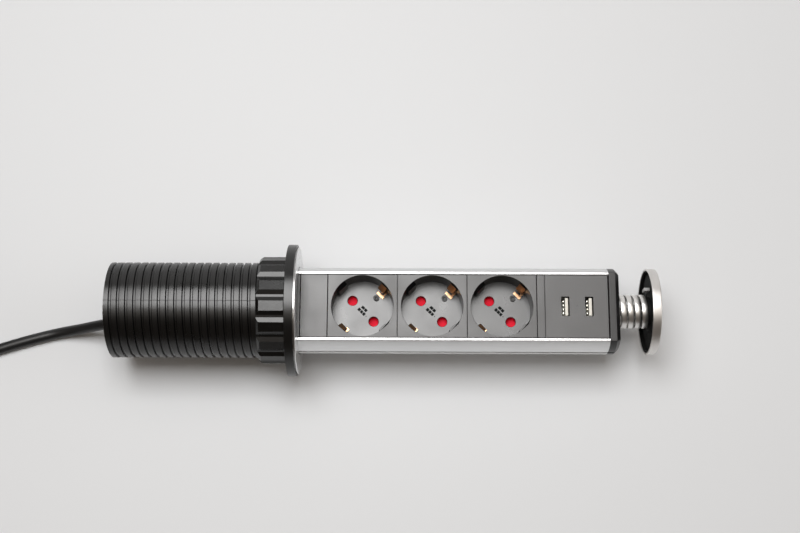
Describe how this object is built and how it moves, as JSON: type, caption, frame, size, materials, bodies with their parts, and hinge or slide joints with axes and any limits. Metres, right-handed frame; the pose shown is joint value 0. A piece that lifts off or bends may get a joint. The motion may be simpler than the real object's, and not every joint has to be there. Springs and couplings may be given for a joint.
{
  "type": "pop up desk socket",
  "caption": "Desk socket on a round aluminium column with earthed sockets, USB ports and a sprung lid, which slides through a threaded, flanged sleeve clamped in a desk hole.",
  "frame": {"origin": "on the column's axis, in the plane of the flange face that sits on the desk", "axes": "+X along the column out of the desk towards the lid, +Z out of the sockets; lying with the sockets up"},
  "size_m": [0.5483, 0.1165, 0.083],
  "materials": {
    "black_plastic": "fine satin moulding",
    "trim_steel": "satin",
    "felt": "pressed felt",
    "aluminium": "satin anodised",
    "grey_plastic": "fine grained",
    "red_plastic": "plain",
    "bronze": "plain strip",
    "steel": "nickel plated",
    "spring_steel": "polished strip",
    "cream_plastic": "plain",
    "board": "solder mask",
    "supply": "wrapped",
    "catch_plastic": "plain",
    "cord_rubber": "smooth sheath",
    "brown_core": "plain",
    "blue_core": "plain",
    "green_core": "plain"
  },
  "bodies": {
    "sleeve": {"sleeve": "black_plastic", "trim_ring": "trim_steel", "brake_ring": "felt"},
    "washer": {"clamp_washer": "black_plastic"},
    "nut": {"clamp_nut": "black_plastic"},
    "lid": {"lid_cover": "trim_steel", "lid_insert": "black_plastic", "lid_stem": "steel", "stem_clip": "steel", "lid_latch": "catch_plastic"},
    "shutter_1": {"shutter_1": "red_plastic"},
    "shutter_2": {"shutter_2": "red_plastic"},
    "shutter_3": {"shutter_3": "red_plastic"},
    "column": {"head_cap": "black_plastic", "foot_cap": "black_plastic", "plug_body": "black_plastic", "contact_block_1": "black_plastic", "contact_block_2": "black_plastic", "contact_block_3": "black_plastic", "column_profile": "aluminium", "lower_panel": "grey_plastic", "blank_panel": "grey_plastic", "spacer_strip": "grey_plastic", "usb_panel": "grey_plastic", "socket_body_1": "grey_plastic", "socket_body_2": "grey_plastic", "socket_body_3": "grey_plastic", "earth_clip_1": "bronze", "earth_clip_2": "bronze", "earth_clip_3": "bronze", "live_bar": "bronze", "neutral_bar": "bronze", "earth_bar": "bronze", "earth_rivets": "steel", "block_screws": "steel", "usb_shells": "steel", "head_cap_screws": "steel", "foot_cap_screws": "steel", "plug_pins": "steel", "plug_earth_strips": "steel", "lid_spring": "spring_steel", "usb_tongues": "cream_plastic", "usb_board": "board", "usb_converter": "supply", "cord_lead": "cord_rubber", "cord_coil": "cord_rubber", "cord_tail": "cord_rubber", "cable_boot": "cord_rubber", "live_wire": "brown_core", "neutral_wire": "blue_core", "earth_wire": "green_core"}
  },
  "joints": [
    {"name": "column_slide", "type": "slide", "parent": "sleeve", "child": "column", "axis": [1, 0, 0], "range_m": [-0.2239, 0]},
    {"name": "lid_press", "type": "slide", "parent": "column", "child": "lid", "axis": [1, 0, 0], "range_m": [-0.0032, 0], "stiffness_N_per_m": 1500, "deforming": ["lid_spring"]},
    {"name": "washer_slide", "type": "slide", "parent": "sleeve", "child": "washer", "axis": [1, 0, 0], "range_m": [-0.0701, 0]},
    {"name": "nut_turn", "type": "hinge", "parent": "washer", "child": "nut", "pos_m": [-0.01, 0, 0], "axis": [1, 0, 0], "range_deg": [-5040, 0]},
    {"name": "shutter_1_turn", "type": "hinge", "parent": "column", "child": "shutter_1", "pos_m": [0.04675, 0, -0.006], "axis": [0, 0, 1], "range_deg": [-40, 0], "stiffness_Nm_per_rad": 0.01},
    {"name": "shutter_2_turn", "type": "hinge", "parent": "column", "child": "shutter_2", "pos_m": [0.09005, 0, -0.006], "axis": [0, 0, 1], "range_deg": [-40, 0], "stiffness_Nm_per_rad": 0.01},
    {"name": "shutter_3_turn", "type": "hinge", "parent": "column", "child": "shutter_3", "pos_m": [0.13335, 0, -0.006], "axis": [0, 0, 1], "range_deg": [-40, 0], "stiffness_Nm_per_rad": 0.01}
  ],
  "couplings": [
    {"joint": "washer_slide", "follows": "nut_turn", "m_per_rad": 0.00079577}
  ]
}
